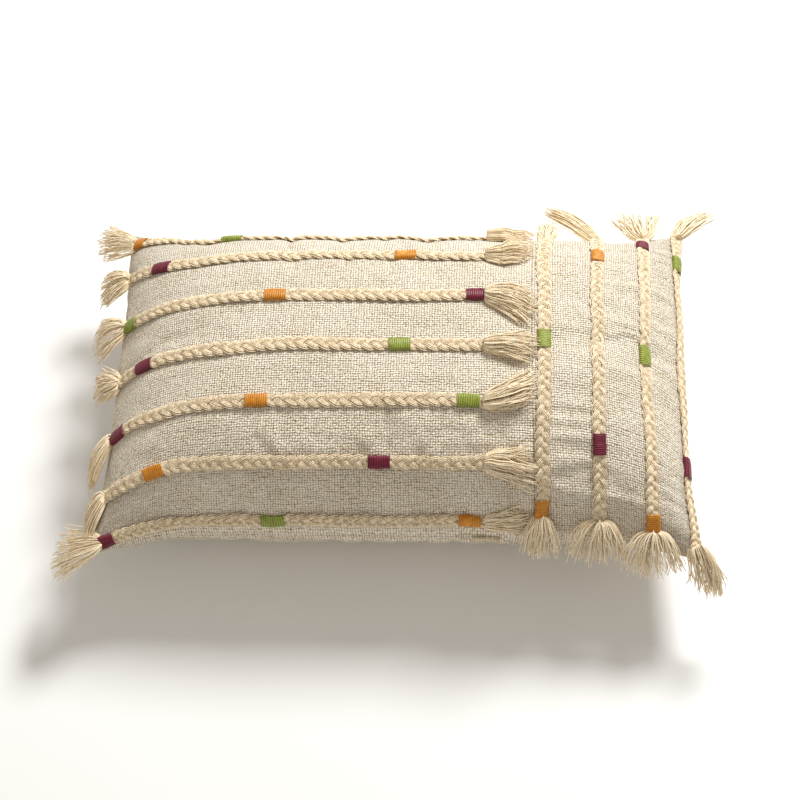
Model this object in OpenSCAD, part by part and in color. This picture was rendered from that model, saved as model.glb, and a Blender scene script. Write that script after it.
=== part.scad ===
// Rectangular throw pillow: a braided two-panel cover, a hidden zip and a fibre-filled insert.
// It lies on its back. +X is along the long side, +Y along the short side and +Z up out of the front.
// The origin is the middle of the flat patch that the pillow rests on.
// Sewn-on trim is placed in flat-pattern coordinates: u along the long side, v along the short side.

/* [Cover pattern] */
// Long side of the cover laid flat, before filling
flat_w = 610; // [500:1:760]
// Short side of the cover laid flat, before filling
flat_d = 406; // [330:1:500]
// Flat width of the right front panel, from its join to the side seam
right_panel_w = 180; // [140:1:220]
// Thickness of the woven cover cloth
cloth_t = 1.2; // [0.8:0.1:2]

/* [Filled shape] */
// Overall height of the filled pillow
loft = 186; // [140:1:230]
// Height of the side seam above the surface
seam_h = 82; // [65:1:110]
// How deep the back would bulge below the seam if nothing pressed it flat
back_depth = 93; // [86:1:140]
// How far filling draws each corner in along the long side
corner_draw_x = 25; // [5:1:35]
// How far filling draws each corner in along the short side
corner_draw_y = 23; // [5:1:35]
// How far filling draws in the middle of each short side
waist_draw_x = 33; // [15:1:45]
// How far filling draws in the middle of each long side
waist_draw_y = 45; // [30:1:60]

/* [Insert] */
// How far the insert's own seam stays inside the cover's seam
insert_inset = 15; // [12:1:25]
// Thickness of the insert's casing cloth
casing_t = 0.6; // [0.3:0.1:1]
// Clearance between two layers of cloth
layer_gap = 0.5; // [0.3:0.1:1]

/* [Braids] */
// Number of braids across the left panel
rows = 7; // [3:1:9]
// Number of braids down the right panel
columns = 4; // [2:1:6]
// Flat distance from the top seam to the first row
row_top_margin = 46; // [25:1:60]
// Flat distance from the last row to the bottom seam
row_bottom_margin = 14; // [12:1:40]
// Flat distance from the panel join to the first column
column_lead = 11; // [8:1:20]
// Flat distance from the last column to the side seam
column_margin = 17; // [14:1:40]
// Width of a braid
braid_w = 14; // [10:0.5:18]
// Height of a braid
braid_t = 6.4; // [4:0.1:8]
// Flat distance from the side seam to the left ends of the rows
row_start_margin = 21; // [15:1:40]
// Flat distance from the right ends of the rows to the panel join
row_end_margin = 41; // [36:1:60]
// Flat distance from the long seams to the ends of the columns
column_end_margin = 18; // [12:1:40]
// Length of a coloured thread wrap along its braid
wrap_len = 20; // [12:1:30]
// Thickness of the thread wound round a braid
wrap_t = 0.9; // [0.5:0.1:1.5]

/* [Tassels] */
// Length of a tassel that lies on the front
lying_tassel_len = 36; // [20:1:42]
// Length of a tassel that hangs over an edge
hanging_tassel_len = 46; // [30:1:60]
// Width of a tassel where it leaves the braid
tassel_root_w = 12; // [8:0.5:16]
// Width of a tassel across its tips
tassel_tip_w = 24; // [16:1:36]
// Height of a tassel
tassel_t = 5; // [3:0.1:7]

/* [Zip] */
// Length of the zip's chain
zip_len = 290; // [200:1:340]
// Distance from the panel join to the closed end of the zip
zip_join_gap = 26; // [22:1:40]
// Width of one zip tape
tape_w = 11.2; // [8:0.1:12]
// Thickness of one zip tape
tape_t = 0.5; // [0.3:0.1:0.8]
// Diameter of one row of nylon coil
coil_d = 2; // [1.4:0.1:2.4]
// Length of a stop at either end of the chain
stop_len = 3; // [2:0.5:5]
// Length of the slider along the zip
slider_len = 9; // [6:0.5:12]
// Thickness of the slider's neck between the two rows of coil
neck_t = 1; // [0.8:0.1:1.2]
// Length of the pull tab from its pin
pull_len = 24; // [18:1:30]
// Diameter of the pin that the pull tab turns on
pin_d = 1.5; // [1.2:0.1:1.8]
// Radial clearance of the pin in the slider's lug
pin_clearance = 0.05; // [0.02:0.01:0.1]
// Clearance between the slider and everything it runs past
slide_clearance = 0.3; // [0.3:0.05:0.5]

/* [Hidden] */
WRAP_COLOURS = [["mustard", "#e09a1e"], ["maroon", "#7a1233"], ["green", "#8fa436"]];

linen = "#d9c8a5";
cream = "#e3d5b4";
calico = "#efeae0";
fibre = "#f7f5f0";
tape_colour = "#d8c9a8";
coil_colour = "#efe6d2";
nickel = "#b9b9b5";

// Half sizes of the filled cover at its corners and at the middle of its sides
corner_x = flat_w / 2 - corner_draw_x;
corner_y = flat_d / 2 - corner_draw_y;
waist_x = flat_w / 2 - waist_draw_x;
waist_y = flat_d / 2 - waist_draw_y;
join_u = flat_w / 2 - right_panel_w;

// Places of the zip along the bottom seam
zip_right = corner_x * along(join_u) - zip_join_gap;
zip_left = zip_right - zip_len;
tape_tail = 8;
straight_half = max(abs(zip_left), abs(zip_right)) + tape_tail;
straight_share = straight_half / corner_x;

// Heights and depths of the zip's layers, measured from the seam
slot_half = neck_t / 2 + slide_clearance;
lip_half = slot_half + 0.1;
tape_inset = 3.2;
tape_y = -waist_y + tape_inset;
coil_y = tape_y + tape_t + 0.1 + coil_d / 2;
coil_z = slot_half + coil_d / 2;
wall_t = 0.8;
base_y = coil_y + coil_d / 2 + slide_clearance;
stop_gap = 0.5;
slider_x = zip_right - stop_len - stop_gap - slider_len / 2;
lug_r = 2;
pivot_y = -waist_y - lug_r - 0.8;
cheek_t = 0.7;
cheek_gap = 0.1;
pull_t = 0.9;
pull_w = 5;

// Lift of the trim off the cloth, and clearances between trim pieces
trim_gap = 0.4;
braid_lift = braid_t / 2 + trim_gap;
tassel_lift = tassel_t / 2 + trim_gap;
wrap_gap = 0.15;
tassel_gap = 0.6;

// Positions of the braids in the flat pattern
row_pitch = (flat_d - row_top_margin - row_bottom_margin) / (rows - 1);
column_pitch = (right_panel_w - column_lead - column_margin) / (columns - 1);
row_from = -flat_w / 2 + row_start_margin;
row_to = join_u - row_end_margin;
column_from = flat_d / 2 - column_end_margin;
column_to = -flat_d / 2 + column_end_margin;
function row_v(k) = flat_d / 2 - row_top_margin - (k - 1) * row_pitch;
function column_u(k) = join_u + column_lead + (k - 1) * column_pitch;

// Thread wraps on each braid: share of the braid's length from its left or top end, and colour
ROW_WRAPS = [
    [[0, "mustard"], [0.32, "green"]],
    [[0.115, "maroon"], [0.805, "mustard"]],
    [[0, "green"], [0.465, "mustard"], [1, "maroon"]],
    [[0.09, "maroon"], [0.8, "green"]],
    [[0.005, "maroon"], [0.435, "mustard"], [0.98, "green"]],
    [[0.16, "mustard"], [0.755, "maroon"]],
    [[0, "maroon"], [0.48, "green"], [0.98, "mustard"]]
];
COLUMN_WRAPS = [
    [[0.52, "green"], [1, "mustard"]],
    [[0.185, "mustard"], [0.81, "maroon"]],
    [[0.085, "maroon"], [0.51, "green"], [0.995, "mustard"]],
    [[0.14, "green"], [0.765, "maroon"]]
];

// Sideways lean of each tassel's tips, as a share of its length
ROW_LEFT_LEAN = [0.1, -0.3, 0.1, -0.2, -0.4, -0.3, -0.3];
ROW_RIGHT_LEAN = [0.1, 0.3, -0.05, 0.1, 0.25, -0.1, -0.15];
COLUMN_TOP_LEAN = [0, -0.5, 0.2, 0.3];
COLUMN_BOTTOM_LEAN = [0.1, -0.3, -0.15, 0.1];

// ---- Shape of the filled cover ----

// Share of the half length or half depth at which a flat-pattern coordinate ends up
function along(u) = let (t = u / (flat_w / 2)) t * (1.13 - 0.13 * pow(abs(t), 5));
function across(v) = let (t = v / (flat_d / 2)) t * (1.23 - 0.23 * pow(abs(t), 3));

// Half sizes of the seam line: pulled in at the waists, straight where the zip runs
function seam_x(b) = waist_x + (corner_x - waist_x) * pow(abs(b), 2.6);
function seam_y(a) = let (s = max(0, abs(a) - straight_share) / (1 - straight_share))
    waist_y + (corner_y - waist_y) * pow(s, 1.3);

// Height of the bulge, from 0 on the seam to 1 in the middle
function bulge(a, b) = pow(max(0, 1 - pow(abs(a), 3.9)), 0.55) * pow(max(0, 1 - pow(abs(b), 2.6)), 0.55);

// Points of the front and the back, drawn in by inset at the seam and by depth at the crown.
// The surface that the pillow lies on stops the back at z = depth.
function front(u, v, inset, depth) = let (a = along(u), b = across(v), z0 = seam_h + layer_gap / 2)
    [a * (seam_x(b) - inset), b * (seam_y(a) - inset), z0 + (loft - z0 - depth) * bulge(a, b)];
function back(u, v, inset, depth) = let (a = along(u), b = across(v), z0 = seam_h - layer_gap / 2)
    [a * (seam_x(b) - inset), b * (seam_y(a) - inset), max(depth, z0 - (back_depth - depth) * bulge(a, b))];

// Flat-pattern coordinate on the bottom seam that ends up at x, found by halving the interval
function u_at(x, low = -flat_w / 2, high = flat_w / 2, turns = 24) = let (mid = (low + high) / 2)
    turns == 0 ? mid
    : corner_x * along(mid) < x ? u_at(x, mid, high, turns - 1)
    : u_at(x, low, mid, turns - 1);

// Slot in the bottom seam through which the slider's neck reaches its pull tab:
// the edges of the panels part along the zip, and meet again over a short ramp at either end
slot_from = u_at(zip_left);
slot_to = u_at(zip_right);
slot_ramp = 6;
function lip(u, v) = v < -flat_d / 2 + 1 && u > slot_from - 1 && u < slot_to + 1 ? lip_half - layer_gap / 2 : 0;
function front_cover(u, v, t) = front(u, v, t, t) + [0, 0, lip(u, v)];
function back_cover(u, v, t) = back(u, v, t, t) - [0, 0, lip(u, v)];

// ---- Grids of points and their faces ----

// Flat-pattern stations, closer together near the seams, where the cloth turns quickly
SIDE_CELLS = 4;
SLOT_CELLS = 5;
RIGHT_CELLS = 5;
DEPTH_CELLS = 15;
left_us = concat(
    [for (i = [0:SIDE_CELLS])
        -flat_w / 2 + (slot_from - slot_ramp + flat_w / 2) * (1 - cos(90 * i / SIDE_CELLS))],
    [for (i = [0:SLOT_CELLS]) slot_from + (slot_to - slot_from) * i / SLOT_CELLS],
    [slot_to + slot_ramp, join_u]
);
right_us = [for (i = [0:RIGHT_CELLS]) flat_w / 2 - right_panel_w * (1 - sin(90 * i / RIGHT_CELLS))];
all_us = concat(left_us, [for (i = [1:RIGHT_CELLS]) right_us[i]]);
all_vs = [for (j = [0:DEPTH_CELLS]) -flat_d / 2 * cos(180 * j / DEPTH_CELLS)];

// Triangles of one grid of n by m points that starts at index base
function grid_faces(n, m, base, up) = [
    for (i = [0:n - 2], j = [0:m - 2])
        let (a = base + i * m + j, b = a + m, c = b + 1, d = a + 1)
            each up ? [[c, b, a], [d, c, a]] : [[a, b, c], [a, c, d]]
];

// Indices round the edge of a grid of n by m points
function grid_edge(n, m) = concat(
    [for (j = [0:m - 2]) j],
    [for (i = [0:n - 2]) i * m + m - 1],
    [for (j = [m - 1:-1:1]) (n - 1) * m + j],
    [for (i = [n - 1:-1:1]) i * m]
);

// Triangles of the wall that joins the edges of two grids
function rim_faces(n, m, up) = let (edge = grid_edge(n, m), size = n * m, count = len(edge)) [
    for (k = [0:count - 1])
        let (a = edge[k], b = edge[(k + 1) % count])
            each up ? [[b, a, a + size], [b, a + size, b + size]] : [[a, b, a + size], [b, b + size, a + size]]
];

// Closed skin between an outer and an inner grid; up is true when the outer one is on top
module skin(outer, inner, n, m, up) {
    faces = concat(rim_faces(n, m, up), grid_faces(n, m, 0, up), grid_faces(n, m, n * m, !up));
    polyhedron(points = concat(outer, inner), faces = faces);
}

function unit(p) = p / norm(p);

// Ring of points round a centre, in the plane across the way that the tube runs
RING_SIDES = 8;
function ring(c, tangent, normal, w, t) = let (side = unit(cross(normal, tangent))) [
    for (j = [0:RING_SIDES - 1])
        let (angle = 360 * (j + 0.5) / RING_SIDES)
            c + side * cos(angle) * w / 2 + normal * sin(angle) * t / 2
];

// Triangles of the wall through n rings that start at index base
function wall_faces(n, base, out) = let (k = RING_SIDES) [
    for (i = [0:n - 2], j = [0:k - 1])
        let (a = base + i * k + j, b = base + i * k + (j + 1) % k, c = a + k, d = b + k)
            each out ? [[a, c, d], [a, d, b]] : [[a, d, c], [a, b, d]]
];

// Solid tube through a list of rings
module solid_tube(rings) {
    n = len(rings);
    last = (n - 1) * RING_SIDES;
    caps = [for (j = [1:RING_SIDES - 2]) each [[0, j, j + 1], [last, last + j + 1, last + j]]];
    polyhedron(points = [for (r = rings) each r], faces = concat(wall_faces(n, 0, true), caps));
}

// Sleeve between two lists of rings, the second one inside the first
module sleeve(outer, inner) {
    n = len(outer);
    k = RING_SIDES;
    size = n * k;
    last = (n - 1) * k;
    ends = [
        for (j = [0:k - 1])
            let (b = (j + 1) % k)
                each [
                    [j, b, size + b], [j, size + b, size + j],
                    [last + j, size + last + b, last + b], [last + j, size + last + j, size + last + b]
                ]
    ];
    faces = concat(wall_faces(n, 0, true), wall_faces(n, size, false), ends);
    polyhedron(points = concat([for (r = outer) each r], [for (r = inner) each r]), faces = faces);
}

// ---- Trim on the front ----

// Direction of the surface at a flat-pattern point: along u, along v and outwards
STEP = 0.5;
function slope_u(u, v) = unit(front(u + STEP, v, 0, 0) - front(u - STEP, v, 0, 0));
function slope_v(u, v) = unit(front(u, v + STEP, 0, 0) - front(u, v - STEP, 0, 0));
function outward(u, v) = unit(cross(slope_u(u, v), slope_v(u, v)));

// Flat-pattern point at a distance s along a braid: rows run to the right, columns run down
function on_braid(is_row, k, s) = is_row ? [row_from + s, row_v(k)] : [column_u(k), column_from - s];
function braid_length(is_row) = is_row ? row_to - row_from : column_from - column_to;
function braid_tangent(is_row, p) = is_row ? slope_u(p[0], p[1]) : -slope_v(p[0], p[1]);
function braid_wraps(is_row, k) = is_row ? ROW_WRAPS[(k - 1) % len(ROW_WRAPS)]
    : COLUMN_WRAPS[(k - 1) % len(COLUMN_WRAPS)];
function wrap_middle(is_row, wrap) = let (room = braid_length(is_row) - wrap_len)
    wrap_len / 2 + room * wrap[0];

function braid_ring(is_row, k, s, grow) = let (
    p = on_braid(is_row, k, s),
    normal = outward(p[0], p[1]),
    c = front(p[0], p[1], 0, 0) + normal * (braid_lift + wrap_t)
) ring(c, braid_tangent(is_row, p), normal, braid_w + 2 * grow, braid_t + 2 * grow);

// Distances along a braid at which it has a ring: both ends of each wrap, and even steps between
RING_STEP = 30;
function braid_knots(is_row, k) = concat(
    [0],
    [for (w = braid_wraps(is_row, k)) each [wrap_middle(is_row, w) - wrap_len / 2,
        wrap_middle(is_row, w) + wrap_len / 2]],
    [braid_length(is_row)]
);
function braid_stations(is_row, k) = let (knots = braid_knots(is_row, k)) concat(
    [for (i = [0:len(knots) - 2]) let (span = knots[i + 1] - knots[i], parts = ceil(span / RING_STEP))
        if (span > 0.01) each [for (q = [0:parts - 1]) knots[i] + span * q / parts]],
    [knots[len(knots) - 1]]
);

module braid(is_row, k) {
    color(cream) solid_tube([for (s = braid_stations(is_row, k)) braid_ring(is_row, k, s, 0)]);
}

// All the wraps of one colour on the rows, or on the columns
module wraps(is_row, colour) {
    for (k = [1:is_row ? rows : columns], w = braid_wraps(is_row, k)) if (w[1] == colour[0]) {
        middle = wrap_middle(is_row, w);
        ends = [middle - wrap_len / 2 + wrap_gap, middle + wrap_len / 2 - wrap_gap];
        color(colour[1]) sleeve(
            [for (s = ends) braid_ring(is_row, k, s, wrap_t)],
            [for (s = ends) braid_ring(is_row, k, s, wrap_gap)]
        );
    }
}

// A tassel widens from its root to its tips as it goes from t = 0 to t = 1
TASSEL_RINGS = 6;
function tassel_w(t) = tassel_root_w + (tassel_tip_w - tassel_root_w) * pow(t, 0.8);
function fades(t) = 1 - 0.35 * pow(t, 2);

// A tassel that lies on the front, beyond the right end of a row. Its root is square to the braid.
function lying_ring(k, t) = let (
    lean = ROW_RIGHT_LEAN[(k - 1) % len(ROW_RIGHT_LEAN)],
    u = row_to + tassel_gap + t * lying_tassel_len,
    v = row_v(k) + t * lying_tassel_len * lean,
    normal = outward(u, v),
    c = front(u, v, 0, 0) + normal * (tassel_lift + wrap_t),
    turn = t == 0 ? 0 : lean
) ring(c, unit(slope_u(u, v) + turn * slope_v(u, v)), normal, tassel_w(t), tassel_t * fades(t));

module lying_tassel(k) {
    color(cream) solid_tube([for (i = [0:TASSEL_RINGS - 1]) lying_ring(k, i / (TASSEL_RINGS - 1))]);
}

// A tassel that hangs over an edge: it goes out sideways and drops ever more steeply.
// onward is the way the braid was going, out is the way over the edge and side is across it.
// Reach and drop are shares of the tassel's length.
function hanging_point(p, onward, out, side, lean, reach, drop, t) = let (n = outward(p[0], p[1]))
    front(p[0], p[1], 0, 0) + n * (braid_lift + wrap_t) + onward * tassel_gap
    + hanging_tassel_len * (out * reach * t + side * lean * t - [0, 0, drop * pow(t, 1.5)]);

module hanging_tassel(p, onward, out, side, lean, reach, drop) {
    rings = [
        for (i = [0:TASSEL_RINGS - 1])
            let (
                t = i / (TASSEL_RINGS - 1),
                c = hanging_point(p, onward, out, side, lean, reach, drop, t),
                ahead = hanging_point(p, onward, out, side, lean, reach, drop, t + 0.05),
                tangent = i == 0 ? onward : unit(ahead - c),
                normal = unit(cross(cross(tangent, out + [0, 0, 1]), tangent))
            ) ring(c, tangent, normal, tassel_w(t), tassel_t * fades(t))
    ];
    color(cream) solid_tube(rings);
}

module row_tassel_left(k) {
    lean = ROW_LEFT_LEAN[(k - 1) % len(ROW_LEFT_LEAN)];
    p = [row_from, row_v(k)];
    hanging_tassel(p, -slope_u(p[0], p[1]), [-1, 0, 0], [0, 1, 0], lean, 0.5, 0.8);
}

module column_tassel_top(k) {
    lean = COLUMN_TOP_LEAN[(k - 1) % len(COLUMN_TOP_LEAN)];
    p = [column_u(k), column_from];
    hanging_tassel(p, slope_v(p[0], p[1]), [0, 1, 0], [1, 0, 0], lean, 0.8, 0.35);
}

module column_tassel_bottom(k) {
    lean = COLUMN_BOTTOM_LEAN[(k - 1) % len(COLUMN_BOTTOM_LEAN)];
    p = [column_u(k), column_to];
    hanging_tassel(p, -slope_v(p[0], p[1]), [0, -1, 0], [1, 0, 0], lean, 0.5, 0.8);
}

// ---- Cover ----

module front_panel(us, shift) {
    color(linen) skin(
        [for (u = us, v = all_vs) front_cover(u, v, 0) + [shift, 0, 0]],
        [for (u = us, v = all_vs) front_cover(u, v, cloth_t) + [shift, 0, 0]],
        len(us), len(all_vs), true
    );
}

module front_panel_left() {
    front_panel(left_us, 0);
}

module front_panel_right() {
    front_panel(right_us, layer_gap);
}

module back_panel() {
    color(linen) skin(
        [for (u = all_us, v = all_vs) back_cover(u, v, 0)],
        [for (u = all_us, v = all_vs) back_cover(u, v, cloth_t)],
        len(all_us), len(all_vs), false
    );
}

// ---- Insert ----

casing_depth = cloth_t + layer_gap;
fill_depth = casing_depth + casing_t + layer_gap;
fill_inset = insert_inset + casing_t + layer_gap;

module insert_casing_front() {
    color(calico) skin(
        [for (u = all_us, v = all_vs) front(u, v, insert_inset, casing_depth)],
        [for (u = all_us, v = all_vs) front(u, v, insert_inset + casing_t, casing_depth + casing_t)],
        len(all_us), len(all_vs), true
    );
}

module insert_casing_back() {
    color(calico) skin(
        [for (u = all_us, v = all_vs) back(u, v, insert_inset, casing_depth)],
        [for (u = all_us, v = all_vs) back(u, v, insert_inset + casing_t, casing_depth + casing_t)],
        len(all_us), len(all_vs), false
    );
}

module fibre_fill() {
    color(fibre) skin(
        [for (u = all_us, v = all_vs) front(u, v, fill_inset, fill_depth)],
        [for (u = all_us, v = all_vs) back(u, v, fill_inset, fill_depth)],
        len(all_us), len(all_vs), true
    );
}

// ---- Zip ----

// up is 1 for the half above the seam and -1 for the half below it
module zip_tape(up) {
    z = up > 0 ? slot_half : -slot_half - tape_w;
    color(tape_colour) translate([zip_left - tape_tail, tape_y, seam_h + z])
        cube([zip_len + 2 * tape_tail, tape_t, tape_w]);
}

module zip_coil(up) {
    color(coil_colour) translate([zip_left + stop_len, coil_y, seam_h + up * coil_z])
        rotate([0, 90, 0]) cylinder(h = zip_len - 2 * stop_len, d = coil_d, $fn = 24);
}

// A metal clamp that closes the chain's end, from x to x + stop_len
module zip_stop(x) {
    half = coil_z + coil_d / 2;
    color(nickel) translate([x + 0.1, coil_y - coil_d / 2, seam_h - half])
        cube([stop_len - 0.2, coil_d + 0.4, 2 * half]);
}

// The channel runs over both rows of coil inside the cover, and its neck reaches out to the lug
module zip_slider() {
    inner_half = coil_z + coil_d / 2 + slide_clearance;
    wall_y = tape_y + tape_t + slide_clearance;
    color(nickel) difference() {
        translate([slider_x, 0, seam_h]) union() {
            translate([-slider_len / 2, base_y, -inner_half - wall_t])
                cube([slider_len, wall_t, 2 * (inner_half + wall_t)]);
            for (up = [0, 1]) mirror([0, 0, up]) translate([-slider_len / 2, wall_y, inner_half])
                cube([slider_len, base_y - wall_y + wall_t, wall_t]);
            translate([-lug_r, pivot_y, -neck_t / 2]) cube([2 * lug_r, base_y - pivot_y, neck_t]);
            translate([0, pivot_y, -neck_t / 2]) cylinder(h = neck_t, r = lug_r, $fn = 48);
        }
        translate([slider_x, pivot_y, seam_h - neck_t])
            cylinder(h = 2 * neck_t, d = pin_d + 2 * pin_clearance, $fn = 48);
    }
}

// The tab lies along the seam towards the open end, hung on a pin between two cheeks
module zip_pull() {
    cheek_z = neck_t / 2 + cheek_gap;
    root = lug_r + 0.6;
    tip_r = pull_w / 2 + 0.6;
    color(nickel) translate([slider_x, pivot_y, seam_h]) mirror([1, 0, 0]) union() {
        translate([0, 0, -cheek_z - cheek_t]) cylinder(h = 2 * (cheek_z + cheek_t), d = pin_d, $fn = 48);
        for (up = [0, 1]) mirror([0, 0, up]) translate([0, 0, cheek_z]) union() {
            cylinder(h = cheek_t, r = lug_r - 0.2, $fn = 48);
            translate([0, -pull_t / 2, 0]) cube([root + 1, pull_t, cheek_t]);
        }
        rotate([90, 0, 0]) translate([0, 0, -pull_t / 2]) linear_extrude(pull_t) union() {
            polygon([[root, -pull_w / 2 + 1], [root, pull_w / 2 - 1],
                [pull_len - tip_r, tip_r], [pull_len - tip_r, -tip_r]]);
            translate([pull_len - tip_r, 0]) circle(r = tip_r, $fn = 64);
        }
    }
}

// ---- Assembly ----

front_panel_left();
front_panel_right();
back_panel();
insert_casing_front();
insert_casing_back();
fibre_fill();
zip_tape(1);  // zip_tape_upper
zip_tape(-1);  // zip_tape_lower
zip_coil(1);  // zip_coil_upper
zip_coil(-1);  // zip_coil_lower
zip_stop(zip_right - stop_len);  // zip_stop_closed_end
zip_stop(zip_left);  // zip_stop_open_end
zip_slider();
zip_pull();
for (k = [1:rows]) {
    braid(true, k);
    row_tassel_left(k);
    lying_tassel(k);
}
for (k = [1:columns]) {
    braid(false, k);
    column_tassel_top(k);
    column_tassel_bottom(k);
}
for (c = WRAP_COLOURS) {
    wraps(true, c);
    wraps(false, c);
}
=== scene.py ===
"""Throw pillow with a plaited two-panel cover: its looks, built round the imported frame.

Lengths are in metres, in the frame's axes: +X along the long side, +Y along the short side, +Z up
out of the front. Places on the cover are given in its flat pattern: u along the long side and v
along the short side, both from the middle.
"""

import math

import bmesh
import bpy
import numpy as np
from mathutils import Matrix, Vector


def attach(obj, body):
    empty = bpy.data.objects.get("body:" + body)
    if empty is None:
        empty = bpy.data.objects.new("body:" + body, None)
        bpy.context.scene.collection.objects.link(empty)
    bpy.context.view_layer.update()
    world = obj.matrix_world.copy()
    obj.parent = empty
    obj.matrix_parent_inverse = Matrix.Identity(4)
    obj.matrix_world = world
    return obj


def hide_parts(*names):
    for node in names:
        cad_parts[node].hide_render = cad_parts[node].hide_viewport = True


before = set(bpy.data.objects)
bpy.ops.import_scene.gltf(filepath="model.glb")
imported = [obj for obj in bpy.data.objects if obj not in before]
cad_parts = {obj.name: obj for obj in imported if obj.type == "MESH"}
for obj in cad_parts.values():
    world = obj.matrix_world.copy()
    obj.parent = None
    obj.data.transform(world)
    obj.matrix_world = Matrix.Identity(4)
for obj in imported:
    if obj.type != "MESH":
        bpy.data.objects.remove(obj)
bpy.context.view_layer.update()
scene = bpy.context.scene
scene.view_settings.view_transform = "Standard"

# ---- Camera ----

# It looks down on the front from the near long side, turned a little to the right
VIEW_CENTRE = Vector((0, 0, 0.090))
VIEW_TURN = [math.radians(a) for a in (30.34, 2.85, 0.36)]
VIEW_SHIFT = Vector((0.0010, -0.0149, 1.795))
LENS, SENSOR = 84.04, 36


def make_camera():
    data = bpy.data.cameras.new("camera")
    data.lens = LENS
    data.sensor_width = SENSOR
    camera = bpy.data.objects.new("camera", data)
    scene.collection.objects.link(camera)
    turn = (Matrix.Rotation(VIEW_TURN[0], 4, "X") @ Matrix.Rotation(VIEW_TURN[1], 4, "Y")
            @ Matrix.Rotation(VIEW_TURN[2], 4, "Z"))
    camera.matrix_world = Matrix.Translation(VIEW_CENTRE + turn @ VIEW_SHIFT) @ turn
    scene.camera = camera


make_camera()

# ---- Sizes, the same as in the part's source, except where a comment says so ----

FLAT_W, FLAT_D = 0.610, 0.406
HALF_W, HALF_D = FLAT_W / 2, FLAT_D / 2
LOFT, SEAM_H, BACK_DEPTH = 0.186, 0.082, 0.093
CORNER_X, CORNER_Y, WAIST_X, WAIST_Y = 0.280, 0.180, 0.272, 0.158
JOIN_U = 0.125
CLOTH_T, LAYER_GAP, JOIN_GAP = 0.0012, 0.0005, 0.0002
ZIP_LEFT, ZIP_RIGHT = -0.1865, 0.1035
# The straight stretch of the seam holds the zip and its tapes' tails
TAIL = 0.008
STRAIGHT_SHARE = (TAIL - ZIP_LEFT) / CORNER_X
# Half the opening of the cloth along the zip, drawn narrower than the part's slot
SLOT_HALF = 0.00068
TAPE_Y = -WAIST_Y + 0.0032
COIL_Y, COIL_Z = TAPE_Y + 0.0016, 0.0018
ROWS, COLUMNS = 7, 4
ROW_V = [HALF_D - 0.046 - k * (FLAT_D - 0.060) / (ROWS - 1) for k in range(ROWS)]
COLUMN_U = [JOIN_U + 0.011 + k * (0.180 - 0.028) / (COLUMNS - 1) for k in range(COLUMNS)]
ROW_FROM, ROW_TO = -HALF_W + 0.021, JOIN_U - 0.041
COLUMN_FROM, COLUMN_TO = HALF_D - 0.018, -HALF_D + 0.018
WRAP_LEN = 0.020
ROW_WRAPS = [
    [(0.0, "mustard"), (0.32, "green")],
    [(0.115, "maroon"), (0.805, "mustard")],
    [(0.0, "green"), (0.465, "mustard"), (1.0, "maroon")],
    [(0.09, "maroon"), (0.80, "green")],
    [(0.005, "maroon"), (0.435, "mustard"), (0.98, "green")],
    [(0.16, "mustard"), (0.755, "maroon")],
    [(0.0, "maroon"), (0.48, "green"), (0.98, "mustard")],
]
COLUMN_WRAPS = [
    [(0.52, "green"), (1.0, "mustard")],
    [(0.185, "mustard"), (0.81, "maroon")],
    [(0.085, "maroon"), (0.51, "green"), (0.995, "mustard")],
    [(0.14, "green"), (0.765, "maroon")],
]


def along(u):
    t = u / HALF_W
    return t * (1.13 - 0.13 * np.abs(t) ** 5)


def across(v):
    t = v / HALF_D
    return t * (1.23 - 0.23 * np.abs(t) ** 3)


def seam_x(b):
    return WAIST_X + (CORNER_X - WAIST_X) * np.abs(b) ** 2.6


def seam_y(a):
    s = np.maximum(0, np.abs(a) - STRAIGHT_SHARE) / (1 - STRAIGHT_SHARE)
    return WAIST_Y + (CORNER_Y - WAIST_Y) * s ** 1.3


def part_surface(u, v, side):
    """The part's own front (side 1) or back (side -1) at flat-pattern points."""
    u, v = np.broadcast_arrays(np.asarray(u, float), np.asarray(v, float))
    a, b = along(u), across(v)
    rise = (np.maximum(0, 1 - np.abs(a) ** 3.9) * np.maximum(0, 1 - np.abs(b) ** 2.6)) ** 0.55
    z = SEAM_H + (LOFT - SEAM_H) * rise if side > 0 else np.maximum(0, SEAM_H - BACK_DEPTH * rise)
    return np.stack([a * seam_x(b), b * seam_y(a), z], -1)


# ---- The filled cover: two layers sewn round their edges, drawn in and blown up ----

SIM_STEP = 0.010
SIM_EASE_U, SIM_EASE_V = 1.06, 1.005
SIM_FRAMES, DRAW_FRAMES = 50, 20
PRESSURE = 8
TABLE_T = 0.001
SIM_U, SIM_V = round(FLAT_W / SIM_STEP), round(FLAT_D / SIM_STEP)


def sewn_layers():
    """The flat cover's points, its faces, and the index of each (side, i, j) grid point."""
    us, vs = np.linspace(-HALF_W, HALF_W, SIM_U + 1), np.linspace(-HALF_D, HALF_D, SIM_V + 1)
    points, faces, index, seam = [], [], {}, []
    for side in (1, -1):
        for j, v in enumerate(vs):
            for i, u in enumerate(us):
                edge = i in (0, SIM_U) or j in (0, SIM_V)
                if edge and side < 0:
                    index[side, i, j] = index[1, i, j]
                    continue
                swell = ((1 - (u / HALF_W) ** 2) * (1 - (v / HALF_D) ** 2)) ** 0.7
                index[side, i, j] = len(points)
                if edge:
                    seam.append((len(points), u, v))
                lift = 0 if edge else side * (0.0005 + 0.004 * swell)
                points.append((u * SIM_EASE_U, v * SIM_EASE_V, SEAM_H + lift))
        for j in range(SIM_V):
            for i in range(SIM_U):
                quad = [index[side, i, j], index[side, i + 1, j],
                        index[side, i + 1, j + 1], index[side, i, j + 1]]
                faces.append(quad if side > 0 else quad[::-1])
    return points, faces, index, seam


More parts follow.
